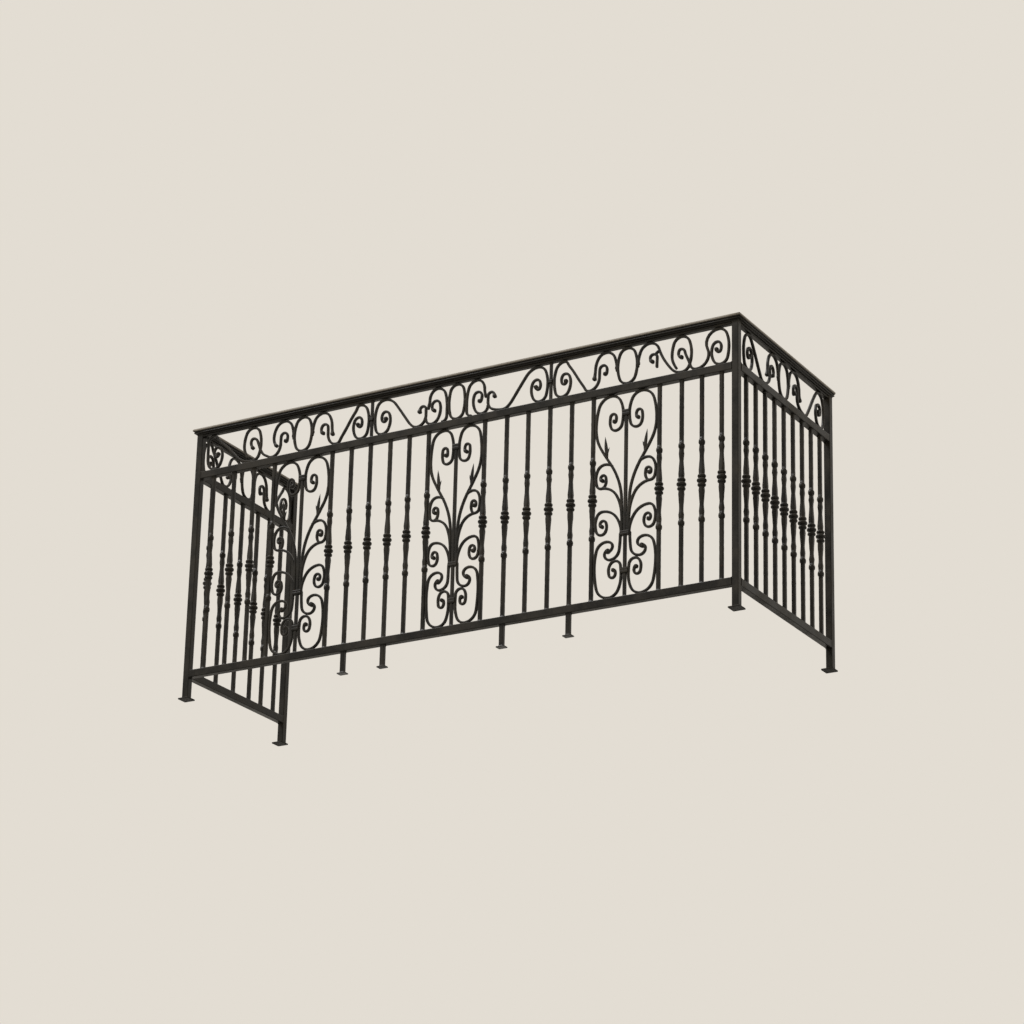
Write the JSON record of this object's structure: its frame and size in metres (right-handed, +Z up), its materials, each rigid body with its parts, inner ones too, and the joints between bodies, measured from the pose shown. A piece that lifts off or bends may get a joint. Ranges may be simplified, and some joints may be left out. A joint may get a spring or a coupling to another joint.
{
  "type": "wrought iron balcony railing with two wall returns",
  "caption": "U-shaped iron balcony railing with knuckled balusters, scroll panels, a scrollwork frieze and a moulded handrail.",
  "frame": {"origin": "on the floor, in the middle of the railing's width and of its longer return", "axes": "+X to the right along the front, +Y from the front to the wall, +Z up"},
  "size_m": [2.276, 0.773, 1.06],
  "materials": {
    "painted_iron": "satin near-black paint",
    "handrail_iron": "satin near-black paint, worn paler on top",
    "baluster_iron": "satin near-black paint",
    "scroll_iron": "satin near-black paint",
    "plate_iron": "weathered near-black paint"
  },
  "bodies": {
    "root": {"corner_post_left": "painted_iron", "corner_post_right": "painted_iron", "wall_post_left": "painted_iron", "wall_post_right": "painted_iron", "bottom_rail_front": "painted_iron", "bottom_rail_left": "painted_iron", "bottom_rail_right": "painted_iron", "middle_rail_front": "painted_iron", "middle_rail_left": "painted_iron", "middle_rail_right": "painted_iron", "top_bar_front": "painted_iron", "top_bar_left": "painted_iron", "top_bar_right": "painted_iron", "rail_feet": "painted_iron", "handrail_front": "handrail_iron", "handrail_left": "handrail_iron", "handrail_right": "handrail_iron", "balusters_front_1": "baluster_iron", "balusters_front_2": "baluster_iron", "balusters_front_3": "baluster_iron", "balusters_front_4": "baluster_iron", "balusters_left": "baluster_iron", "balusters_right": "baluster_iron", "panel_1_side_bars": "baluster_iron", "panel_2_side_bars": "baluster_iron", "panel_3_side_bars": "baluster_iron", "panel_1_centre_bar": "scroll_iron", "panel_1_scrolls": "scroll_iron", "panel_2_centre_bar": "scroll_iron", "panel_2_scrolls": "scroll_iron", "panel_3_centre_bar": "scroll_iron", "panel_3_scrolls": "scroll_iron", "frieze_front_left": "scroll_iron", "frieze_front_middle": "scroll_iron", "frieze_front_right": "scroll_iron", "frieze_bars": "scroll_iron", "frieze_left": "scroll_iron", "frieze_right": "scroll_iron", "corner_post_plate_left": "plate_iron", "corner_post_plate_right": "plate_iron", "wall_post_plate_left": "plate_iron", "wall_post_plate_right": "plate_iron"}
  },
  "joints": []
}
